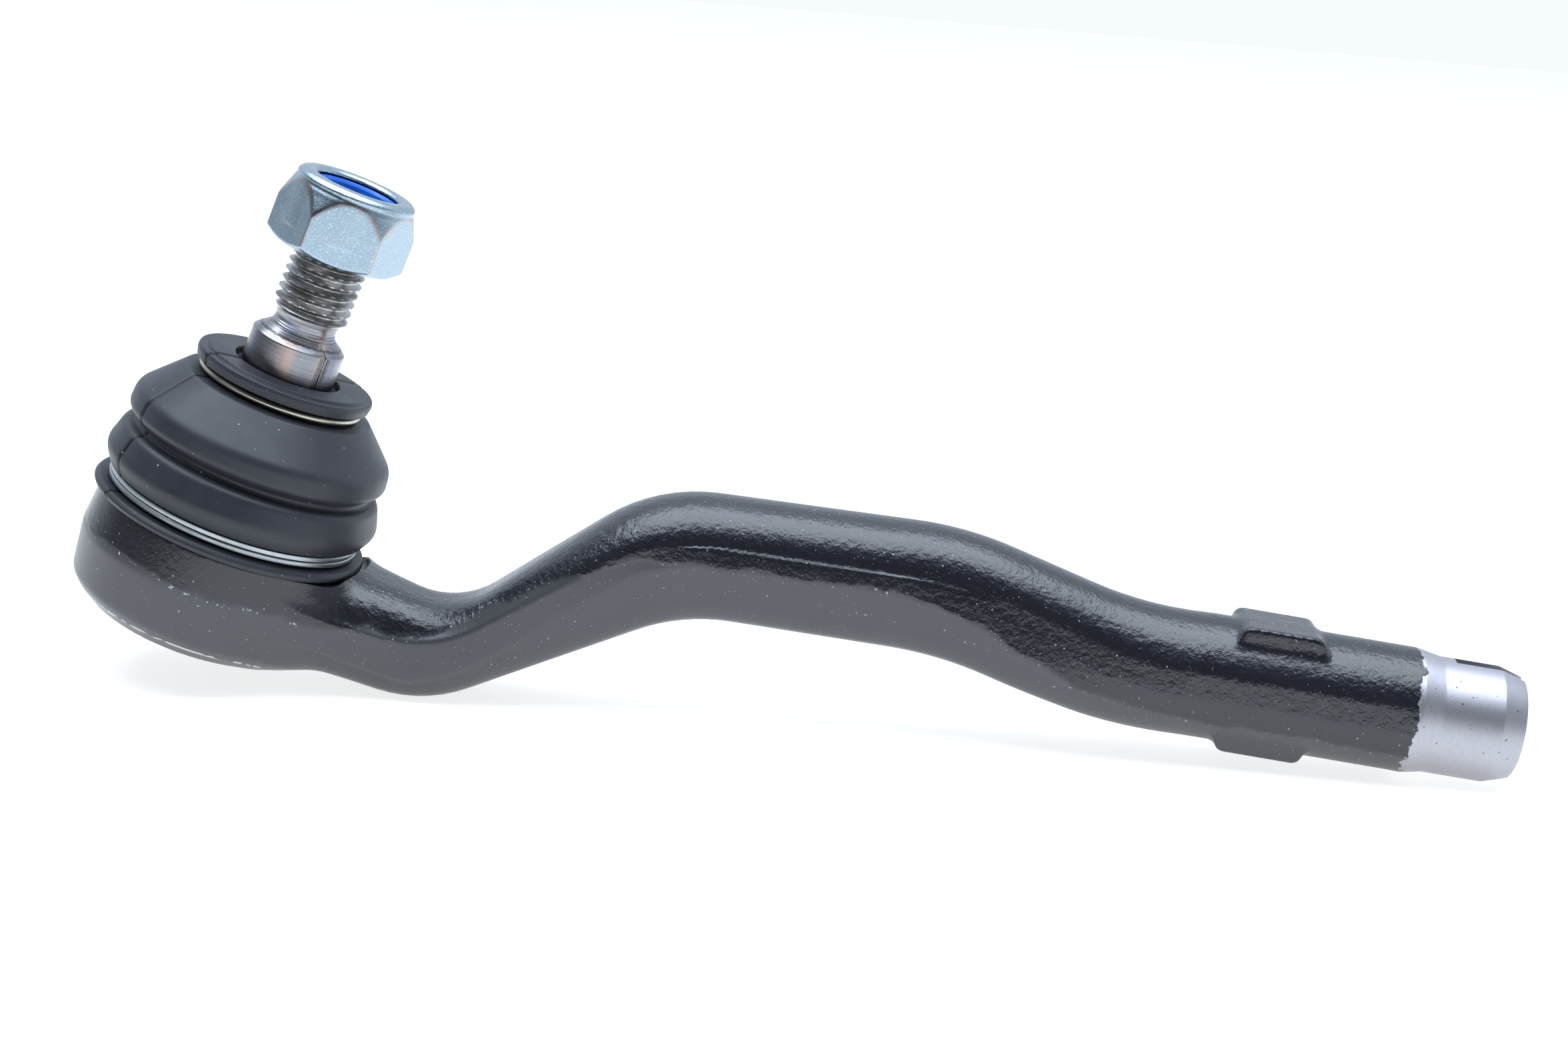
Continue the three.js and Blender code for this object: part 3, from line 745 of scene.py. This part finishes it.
def lower_ring():
    """Flat wire in two turns: once round, a step up across a short arc, and round again."""
    height = (RING_Z[1] - RING_Z[0]) / 2 - 0.05
    start, end, step_arc = math.radians(60), math.radians(60 + 706), math.radians(16)
    half = (start + end) / 2
    section = filleted([
        [-RING_THICKNESS, -height / 2, 0.12], [0, -height / 2, 0.18], [0, height / 2, 0.18],
        [-RING_THICKNESS, height / 2, 0.12],
    ], loop=True, steps=3)
    angles = np.linspace(start, end, 400)
    climb = smoothstep(angles, half - step_arc / 2, half + step_arc / 2)
    low = RING_Z[0] + height / 2
    high = RING_Z[1] - height / 2
    out = outward(angles)
    path = out * RING_RADIUS
    path[:, 2] += low + (high - low) * climb
    return mesh_object("flat_wire_ring", *swept(section, path, out))


def upper_ring():
    """Round spring wire, open by a small gap at the back."""
    angles = np.radians(np.linspace(98, 98 + 352, 200))
    section = WIRE_RADIUS * outward(circle(12))[:, :2]
    out = outward(angles)
    path = out * WIRE_CENTRE_RADIUS + [0, 0, WIRE_Z]
    return mesh_object("round_wire_ring", *swept(section, path, out))


def cover():
    """The pressed plate under the ball: dished rim, raised middle and a dimple."""
    low, high = COVER_Z
    return mesh_object("cover_pressing", *revolved(refined(filleted([
        [0, low + 0.9], [1.6, low + 0.9, 0.5], [2.3, low + 0.35, 0.5], [6.6, low + 0.35, 1],
        [7.8, low, 0.8], [COVER_RADIUS, low, 0.2], [COVER_RADIUS, high, 0.2], [8.4, high, 0.8],
        [7.4, high + 0.2, 0.8], [0, high + 0.2],
    ]), 0.8), 128))


# ---- Materials ---------------------------------------------------


class Nodes:
    """A tree of shader nodes."""

    def __init__(self, tree):
        self.tree = tree

    def add(self, kind, inputs=(), **settings):
        """A new node; inputs are (socket, value or output to link)."""
        node = self.tree.nodes.new("ShaderNode" + kind)
        for name, value in settings.items():
            setattr(node, name, value)
        for socket, value in inputs:
            if isinstance(value, bpy.types.NodeSocket):
                self.tree.links.new(value, node.inputs[socket])
            else:
                node.inputs[socket].default_value = value
        return node

    def math(self, operation, a, b=0.0):
        return self.add("Math", [(0, a), (1, b)], operation=operation).outputs[0]

    def times(self, a, b):
        return self.math("MULTIPLY", a, b)

    def between(self, value, low, high, start=0.0, end=1.0):
        """The value turned smoothly from start at low to end at high."""
        node = self.add("MapRange", [
            ("Value", value), ("From Min", low), ("From Max", high), ("To Min", start),
            ("To Max", end)], interpolation_type="SMOOTHSTEP")
        return node.outputs["Result"]


class Look(Nodes):
    """A material whose colour, roughness and bump come from a tree of nodes."""

    def __init__(self, name, **constants):
        self.material = bpy.data.materials.new(name)
        self.material.use_nodes = True
        super().__init__(self.material.node_tree)
        self.shader = self.tree.nodes["Principled BSDF"]
        for socket, value in constants.items():
            self.shader.inputs[socket.replace("_", " ")].default_value = value
        self.place = self.add("TexCoord").outputs["Object"]

    def mapped(self, place, **settings):
        return self.add("Mapping", [("Vector", place), *settings.items()]).outputs["Vector"]

    def drawn(self):
        """Places in millimetres about the stud's axis, as everything here is drawn."""
        return self.mapped(self.place, Scale=(1 / MM,) * 3, Rotation=(0, -LEAN, 0),
                           Location=DRAWN.translation)

    def drawn_turned(self, y=0.0, z=0.0):
        """The same places, turned about y or z."""
        return self.mapped(self.drawn(), Rotation=(0, y, z))

    def noise(self, size, detail=3.0, rough=0.5, place=None, stretch=(1, 1, 1)):
        """Noise with features of this size in millimetres, from 0 to 1."""
        unit = 1 if place else MM
        factors = [1 / (unit * size * part) for part in stretch]
        node = self.add("TexNoise", [
            ("Vector", self.mapped(place or self.place, Scale=factors)), ("Scale", 1.0),
            ("Detail", detail), ("Roughness", rough)])
        return node.outputs["Fac"]

    def mixed(self, share, a, b):
        """A colour between two others."""
        node = self.add("Mix", [(0, share), (6, a), (7, b)], data_type="RGBA")
        return node.outputs[2]

    def mixed_value(self, share, a, b):
        """A value between two others."""
        return self.add("Mix", [(0, share), (2, a), (3, b)], data_type="FLOAT").outputs[0]

    def specks(self, spacing, radius, share):
        """Scattered dots: 1 inside a dot. share is how many of the cells hold one."""
        node = self.add("TexVoronoi", [
            ("Vector", self.mapped(self.place, Scale=[1 / (MM * spacing)] * 3)), ("Scale", 1.0)])
        chance = self.add("SeparateColor", [("Color", node.outputs["Color"])])
        size = self.times(chance.outputs["Green"], radius / spacing)
        dot = self.math("LESS_THAN", node.outputs["Distance"], size)
        kept = self.math("LESS_THAN", chance.outputs["Red"], share)
        return self.times(dot, kept)

    def attribute(self, name):
        return self.add("Attribute", attribute_name=name).outputs["Fac"]

    def bumped(self, *layers):
        """Bump from several heights, each (height, depth in millimetres)."""
        normal = None
        for height, depth in layers:
            inputs = [("Height", height), ("Distance", depth * MM), ("Strength", 1.0)]
            if normal:
                inputs.append(("Normal", normal))
            normal = self.add("Bump", inputs).outputs["Normal"]
        self.tree.links.new(normal, self.shader.inputs["Normal"])
        return self

    def set(self, **sockets):
        for socket, output in sockets.items():
            self.tree.links.new(output, self.shader.inputs[socket.replace("_", " ")])


def grey(value, blue=1.0):
    """A grey, with more blue in it where blue is over 1."""
    return (value, value, value * blue, 1)


ALONG = "along_sleeve"
ABOVE_EDGE = "above_die_edge"
ABOVE_FLASH = "above_flash_line"
NEAR_ROOT = "near_root"
PEEL = "peel"
EDGE = "near_edge"
SEAM = "near_seam"
PAINT_ENDS = -17.2
DRAFT_Z = 4.5


def paint_attribute(made, name, values):
    attribute = made.data.attributes.new(name, "FLOAT", "POINT")
    attribute.data.foreach_set("value", np.asarray(values, np.float32))


def drawn_places(made):
    """The mesh's points in millimetres about the stud's axis."""
    places = np.empty(len(made.data.vertices) * 3, np.float32)
    made.data.vertices.foreach_get("co", places)
    return moved(places.reshape(-1, 3), DRAWN)


def mark_housing(made):
    """Heights above the forging's lines and distance along the sleeve, for the paint."""
    places = drawn_places(made)
    flat = places[:, [0, 2]]
    batch = 20000
    closest = np.concatenate([
        np.argmin(((flat[i:i + batch, None] - MIDDLES) ** 2).sum(-1), 1)
        for i in range(0, len(flat), batch)])
    up = (TOPS - MIDDLES) / HALF_HEIGHTS[:, None]
    height = ((flat - MIDDLES[closest]) * up[closest]).sum(1)
    x = places[:, 0]
    on_arm = smoothstep(x, 20, 28)
    paint_attribute(made, PEEL, 0.35 + 0.65 * on_arm)
    flash = np.interp(x, *FLASH_LINE.T)
    edge = flash + (np.interp(x, *DIE_EDGE.T) - flash) * smoothstep(x, 52, 74)
    above_edge = (height - edge) * on_arm + (places[:, 2] - DRAFT_Z) * (1 - on_arm)
    paint_attribute(made, ABOVE_EDGE, above_edge)
    paint_attribute(made, ABOVE_FLASH, height - flash + 50 * (1 - on_arm))
    rim = np.abs(np.hypot(x, places[:, 1]) - RIM_EDGE[0]) + np.abs(places[:, 2] - RIM_EDGE[1])
    paint_attribute(made, EDGE, rim)
    paint_attribute(made, NEAR_ROOT, between(x, (19, 26), (44, 58)))
    axis = np.array([math.cos(SLEEVE_SLOPE), 0, math.sin(SLEEVE_SLOPE)])
    paint_attribute(made, ALONG, (places - np.array(END)) @ axis)


def mark_nut(made):
    """How far each point is from the nut's nearest edge, for the tint of its plating."""
    x, y, z = drawn_places(made).T
    sides = np.sort(past_flats(x, y), axis=0)
    taper = 0.384
    cone = (np.hypot(x, y) - NUT_CONE[0] + taper * (z - NUT_CONE[1])) / math.hypot(1, taper)
    reach = np.sort([sides[-1], sides[-2] * 0.9, cone], axis=0)
    paint_attribute(made, EDGE, (reach[-1] - reach[-2]) + 3 * (z > 66.9))


def mark_boot(made):
    """Where the mould's parting lines run, for the rubber."""
    x, y, z = drawn_places(made).T
    reach = np.hypot(x, y)
    seam = seam_line(np.arctan2(y, x), reach) * ((reach > 11) | (z > 36.5))
    paint_attribute(made, SEAM, seam)


def housing_look():
    """Black stove paint, rough from the upper die and smoother below, paler below the die's edge as a painted
    reflection of the white floor, and a bare turned tip.
    """
    look = Look("housing_paint", IOR=1.6)
    wander = look.between(look.noise(7, 2), 0.3, 0.7, -0.5, 0.5)
    above = look.math("ADD", look.attribute(ABOVE_EDGE), wander)
    root = look.attribute(NEAR_ROOT)
    along = look.attribute(ALONG)
    upper = look.between(above, -0.4, 0.8)
    wobble = look.times(look.noise(3, 3, 0.6), 4.5)
    bare = look.between(look.math("ADD", along, wobble), PAINT_ENDS + 2.2, PAINT_ENDS + 2.5)
    peel = look.noise(1.15, 3, 0.6)
    fine = look.noise(0.42, 2, 0.5)
    crown = look.between(look.attribute(ABOVE_FLASH), 0.5, 3)
    wrinkles = look.noise(0.8, 2.5, 0.6, look.drawn_turned(math.radians(-38)), (4.5, 1.0, 1.5))
    specks = look.specks(1.3, 0.16, 0.7)
    grit = look.specks(0.7, 0.09, 0.75)
    dust = look.math("MAXIMUM", specks, grit)
    chips = look.times(look.between(look.math("ABSOLUTE", above), 0.35, 0.1),
                      look.between(look.noise(0.9, 3, 0.7), 0.62, 0.66))
    rim = look.times(look.between(look.attribute(EDGE), 0.55, 0.3),
                    look.between(look.noise(2.2, 4, 0.7), 0.46, 0.52))
    chips = look.math("MAXIMUM", chips, rim)
    by_bore = look.drawn_turned(SLEEVE_SLOPE - math.pi / 2)
    streaks = look.noise(0.25, 4, 0.7, by_bore, (5, 5, 0.5))
    rust = look.times(look.specks(0.8, 0.15, 0.4), bare)
    cloud = look.noise(9, 4, 0.6)
    # Paler grey below the die's edge is a painted reflection of the white floor; the upper side stays darker.
    black_with_painted_reflection = look.mixed(upper, look.mixed(cloud, grey(0.043, 1.12), grey(0.054, 1.12)),
                       look.mixed(cloud, grey(0.008, 1.5), grey(0.013, 1.5)))
    dusty = look.mixed(look.times(dust, 0.55), black_with_painted_reflection, grey(0.5))
    chipped = look.mixed(chips, dusty, grey(0.5))
    steel = look.mixed(streaks, (0.32, 0.315, 0.35, 1), (0.5, 0.49, 0.52, 1))
    rusty = look.mixed(rust, steel, (0.12, 0.07, 0.05, 1))
    look.set(
        Base_Color=look.mixed(bare, chipped, rusty),
        Metallic=look.times(bare, 0.95),
        Roughness=look.mixed_value(bare, look.between(upper, 0, 1, 0.34, 0.25), 0.44),
    )
    x = look.add("SeparateXYZ", [("Vector", look.drawn())]).outputs["X"]
    trimmed = look.times(look.between(x, 64, 72), look.between(x, 106, 92))
    ledge = look.times(trimmed, look.between(look.attribute(ABOVE_FLASH), 0.14, -0.14))
    strong = look.times(look.between(upper, 0, 1, 0.18, 1), look.attribute(PEEL))
    strong = look.times(strong, look.math("SUBTRACT", 1.0, bare))
    return look.bumped(
        (look.times(peel, strong), 0.17),
        (look.times(fine, strong), 0.035),
        (look.times(wrinkles, look.times(root, crown)), 0.15),
        (look.times(streaks, bare), 0.02),
        (dust, 0.03),
        (ledge, 0.2),
    ).material


def cover_look():
    look = Look("cover_paint", IOR=1.55)
    rings = look.noise(0.5, 3, 0.6, look.drawn(), (40, 40, 1))
    peel = look.noise(0.9, 3, 0.5)
    look.set(
        Base_Color=look.mixed(look.noise(6, 4), grey(0.012, 1.2), grey(0.022, 1.1)),
        Roughness=look.between(peel, 0.3, 0.7, 0.26, 0.4))
    return look.bumped((peel, 0.06), (rings, 0.01)).material


def rubber_look():
    """Moulded rubber: satin, a little bluish, with specks of dust, faint scuffs and painted shade along the
    grooves of the mould's parting lines.
    """
    look = Look("boot_rubber", IOR=1.5, Specular_IOR_Level=0.45)
    cloud = look.noise(7, 5, 0.6)
    grain = look.noise(0.22, 3, 0.6)
    dust = look.math("MAXIMUM", look.specks(1.7, 0.15, 0.45), look.specks(1.0, 0.08, 0.4))
    scuffs = look.between(look.noise(0.5, 4, 0.7, stretch=(6, 1, 6)), 0.62, 0.75)
    line = look.attribute(SEAM)
    worn = look.mixed(look.times(scuffs, 0.25), look.mixed(
        cloud, (0.016, 0.017, 0.023, 1), (0.025, 0.026, 0.035, 1)), grey(0.06, 1.1))
    look.set(
        # The colour goes nearly to zero along the parting lines: painted shade in their grooves.
        Base_Color=look.mixed(look.times(dust, 0.6), look.mixed(
            look.times(line, 0.95), worn, grey(0.002)), grey(0.55)),
        Roughness=look.between(cloud, 0.3, 0.7, 0.4, 0.5))
    return look.bumped((grain, 0.012), (dust, 0.02)).material


def stud_look():
    """Turned steel: lathe lines, copper and dark-blue bands round the shank as painted reflections, and grease and
    dirt in the rolled thread.
    """
    look = Look("stud_steel", Metallic=1.0)
    place = look.drawn()
    height = look.add("SeparateXYZ", [("Vector", place)]).outputs["Z"]
    lines = look.noise(0.16, 3, 0.7, place, (120, 120, 1))
    # Streaks along the shank, turned round it, that place the painted reflections below
    around = look.noise(3.4, 2, 0.5, look.drawn_turned(z=math.radians(-42)), (1, 1, 9))
    grime = look.noise(0.6, 3, 0.6, place, (13, 13, 1.6))
    on_thread = look.between(height, THREAD_Z[0] - 1.2, THREAD_Z[0] + 0.6)
    dirty = look.times(on_thread, look.between(grime, 0.44, 0.62))
    steel = look.mixed(
        look.between(lines, 0.35, 0.7), (0.2, 0.2, 0.215, 1), (0.34, 0.34, 0.35, 1))
    # Copper and dark-blue bands along the shank, at set angles round it: painted reflections.
    steel = look.mixed(look.between(around, 0.5, 0.72, 0, 0.8), steel, (0.44, 0.33, 0.29, 1))
    steel = look.mixed(look.between(around, 0.5, 0.3), steel, (0.16, 0.17, 0.24, 1))
    edge = look.math("ADD", height, look.noise(0.7, 4, 0.8))
    edge = look.math("ABSOLUTE", look.math("SUBTRACT", edge, SHANK_END_Z + 1.35))
    burr = look.between(edge, 0.22, 0.06, 0, 0.8)
    turned = look.mixed(burr, steel, (0.05, 0.05, 0.045, 1))
    rolled = look.mixed(on_thread, turned, (0.42, 0.415, 0.41, 1))
    look.set(
        Base_Color=look.mixed(dirty, rolled, (0.19, 0.187, 0.18, 1)),
        Roughness=look.between(dirty, 0, 1, 0.27, 0.42))
    soft = look.math("SUBTRACT", 1.0, on_thread)
    return look.bumped((look.times(lines, soft), 0.014), (grime, 0.004)).material


def zinc_look():
    """Blue-white plating, sparkling on the faces and copper tinted along the edges."""
    look = Look("nut_zinc", Metallic=1.0)
    sparkle = look.noise(0.22, 3, 0.8)
    cloud = look.noise(3.5, 4, 0.6)
    edge = look.between(look.math("ADD", look.attribute(EDGE), look.times(
        look.noise(1.2, 3, 0.7), 0.5)), 0.46, 0.22)
    scratch = look.between(look.noise(0.3, 3, 0.7, stretch=(9, 1, 4)), 0.68, 0.74)
    plated = look.mixed(cloud, (0.25, 0.34, 0.42, 1), (0.36, 0.44, 0.49, 1))
    plated = look.mixed(look.between(sparkle, 0.54, 0.7), plated, (0.64, 0.72, 0.75, 1))
    look.set(
        Base_Color=look.mixed(look.times(edge, 0.65), plated, (0.55, 0.36, 0.3, 1)),
        Roughness=look.between(cloud, 0.3, 0.7, 0.18, 0.27))
    return look.bumped((sparkle, 0.034), (scratch, 0.01), (cloud, 0.05)).material


def nylon_look():
    look = Look("blue_nylon", Roughness=0.34, IOR=1.53)
    look.set(Base_Color=look.mixed(
        look.noise(1.2, 4), (0.003, 0.11, 0.6, 1), (0.008, 0.18, 0.78, 1)))
    return look.bumped((look.noise(0.3, 3), 0.02)).material


def wire_look(name, pale, dark, roughness):
    """Drawn wire, with streaks along it and dull patches."""
    look = Look(name, Metallic=1.0)
    streaks = look.noise(0.14, 4, 0.7, look.drawn(), (60, 60, 1))
    patches = look.noise(2.5, 4, 0.7)
    look.set(
        Base_Color=look.mixed(look.times(streaks, patches), pale, dark),
        Roughness=look.between(patches, 0.3, 0.7, roughness, roughness + 0.15))
    return look.bumped((streaks, 0.02), (look.noise(0.4, 3), 0.01)).material


def seat_look():
    look = Look("seat_acetal", IOR=1.48)
    cloud = look.noise(5, 4)
    look.set(
        Base_Color=look.mixed(cloud, (0.76, 0.72, 0.62, 1), (0.84, 0.81, 0.73, 1)),
        Roughness=look.between(cloud, 0.3, 0.7, 0.4, 0.52))
    return look.bumped((look.noise(0.5, 3), 0.015)).material


# ---- Stage, light and camera -------------------------------------

STAGE_RADIUS = 5
FLOOR_GAP = 0.0002
FLOOR_GLOW = (0.78, 0.79, 0.79, 1)
FLOOR_FAR_GLOW = (0.66, 0.67, 0.65, 1)
DOME_GLOW = (0.93, 0.965, 0.985, 1)


def pale(name, base, glow):
    """A pale stage material with a glow of its own."""
    return Look(name, Roughness=0.9, Specular_IOR_Level=0.1, Emission_Strength=1.0,
                Base_Color=base, Emission_Color=glow)


def floor_look():
    """White that glows a little less far from the part."""
    look = pale("floor_white", (0.5, 0.505, 0.51, 1), FLOOR_GLOW)
    reach = look.add("VectorMath", [(0, look.place)], operation="LENGTH").outputs["Value"]
    look.set(Emission_Color=look.mixed(look.between(reach, 0.7, 4.2), FLOOR_GLOW, FLOOR_FAR_GLOW))
    return look.material


def stage_mesh(name, points, faces, look):
    mesh = bpy.data.meshes.new(name)
    mesh.from_pydata(points.tolist(), [], faces)
    mesh.materials.append(look)
    made = placed(name, mesh)
    return made


def stage_floor():
    """A wide pale disc under a pale dome. The dome only fills the picture's background."""
    ring = outward(circle(96)) * STAGE_RADIUS
    stage_mesh("floor", ring - [0, 0, FLOOR_GAP], [list(range(len(ring)))], floor_look())
    levels = np.linspace(-0.01, 1, 9) * math.pi / 2
    shell = np.concatenate([
        ring * math.cos(t) + [0, 0, STAGE_RADIUS * math.sin(t)] for t in levels]) * 0.98
    dome = stage_mesh("dome", shell, grid_faces(len(levels), len(ring)).tolist(),
                      pale("dome_white", (0, 0, 0, 1), DOME_GLOW).material)
    dome.visible_diffuse = dome.visible_glossy = False
    dome.visible_transmission = dome.visible_shadow = False


def softbox(name, place, target, size, radiance, colour):
    """A rectangular light of a given radiance, facing a target."""
    light = bpy.data.lights.new(name, "AREA")
    light.shape = "RECTANGLE"
    light.size, light.size_y = size
    light.energy = radiance * math.pi * size[0] * size[1]
    light.color = colour
    made = placed(name, light)
    made.location = place
    made.rotation_euler = (Vector(target) - Vector(place)).to_track_quat("-Z", "Y").to_euler()


def room():
    """Pale behind and overhead, dark on the side that the camera stands on."""
    world = bpy.data.worlds.new("room")
    bpy.context.scene.world = world
    world.use_nodes = True
    nodes = Nodes(world.node_tree)
    toward = nodes.add("SeparateXYZ", [(0, nodes.add("TexCoord").outputs["Generated"])]).outputs
    behind = nodes.between(toward["Y"], -0.15, 0.7, 0.05, 1.0)
    above = nodes.between(toward["Z"], 0.62, 0.95, 0.0, 0.7)
    left = nodes.between(toward["X"], -0.35, -0.85, 0.0, 0.16)
    right = nodes.between(toward["X"], 0.45, 0.9, 0.0, 0.5)
    strength = nodes.math("ADD", nodes.math("ADD", behind, above), nodes.math("ADD", left, right))
    sky = world.node_tree.nodes["Background"]
    sky.inputs["Color"].default_value = (0.78, 0.88, 1, 1)
    world.node_tree.links.new(strength, sky.inputs["Strength"])


def camera():
    data = bpy.data.cameras.new("camera")
    data.lens = 57.82
    data.sensor_width = 36
    made = placed("camera", data)
    right = Vector((0.99570, 0.05208, 0.07660))
    up = Vector((-0.08618, 0.21777, 0.97219))
    turn = Matrix((right, up, right.cross(up))).transposed().to_4x4()
    made.matrix_world = Matrix.Translation((0.01049, -0.38381, 0.11902)) @ turn
    bpy.context.scene.camera = made


# ---- The part ----------------------------------------------------


def finished(made, look, sharp, body, node):
    """The piece rides on a body and stands for a node of the same finish."""
    shaded(welded(made), look, sharp)
    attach(made, body)
    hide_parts(node)


forging = welded(housing())
mark_housing(forging)
finished(forging, housing_look(), 38, "housing", "housing")
finished(cover(), cover_look(), 38, "housing", "cover_plate")
finished(stud(), stud_look(), 40, "stud", "ball_stud")
lock_nut = nut()
mark_nut(lock_nut)
finished(lock_nut, zinc_look(), 50, "nut", "lock_nut")
finished(insert(), nylon_look(), 38, "insert", "nylon_insert")
ring_zinc = wire_look("ring_zinc", (0.46, 0.49, 0.5, 1), (0.2, 0.22, 0.23, 1), 0.27)
wire_brass = wire_look("wire_yellow", (0.6, 0.56, 0.46, 1), (0.3, 0.26, 0.19, 1), 0.24)
finished(lower_ring(), ring_zinc, 38, "housing", "boot_lower_ring")
finished(upper_ring(), wire_brass, 50, "collar", "boot_upper_ring")

moulding = boot()
mark_boot(moulding)
shaded(moulding, rubber_look(), 40)
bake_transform(moulding)
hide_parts("dust_boot")

acetal = seat_look()
spring_steel = wire_look("spring_steel", (0.6, 0.61, 0.63, 1), (0.35, 0.36, 0.38, 1), 0.25)
for node, look in (("lower_ball_seat", acetal), ("upper_ball_seat", acetal),
                   ("preload_spring", spring_steel)):
    slots = frame["nodes"][node].data.materials
    slots.clear()
    slots.append(look)

stage_floor()
softbox("overhead", (0.0, -0.06, 0.75), (0, -0.06, 0), (1.1, 0.7), 4.8, (0.8, 0.89, 1))
room()
camera()
bpy.context.scene.view_settings.view_transform = "Standard"
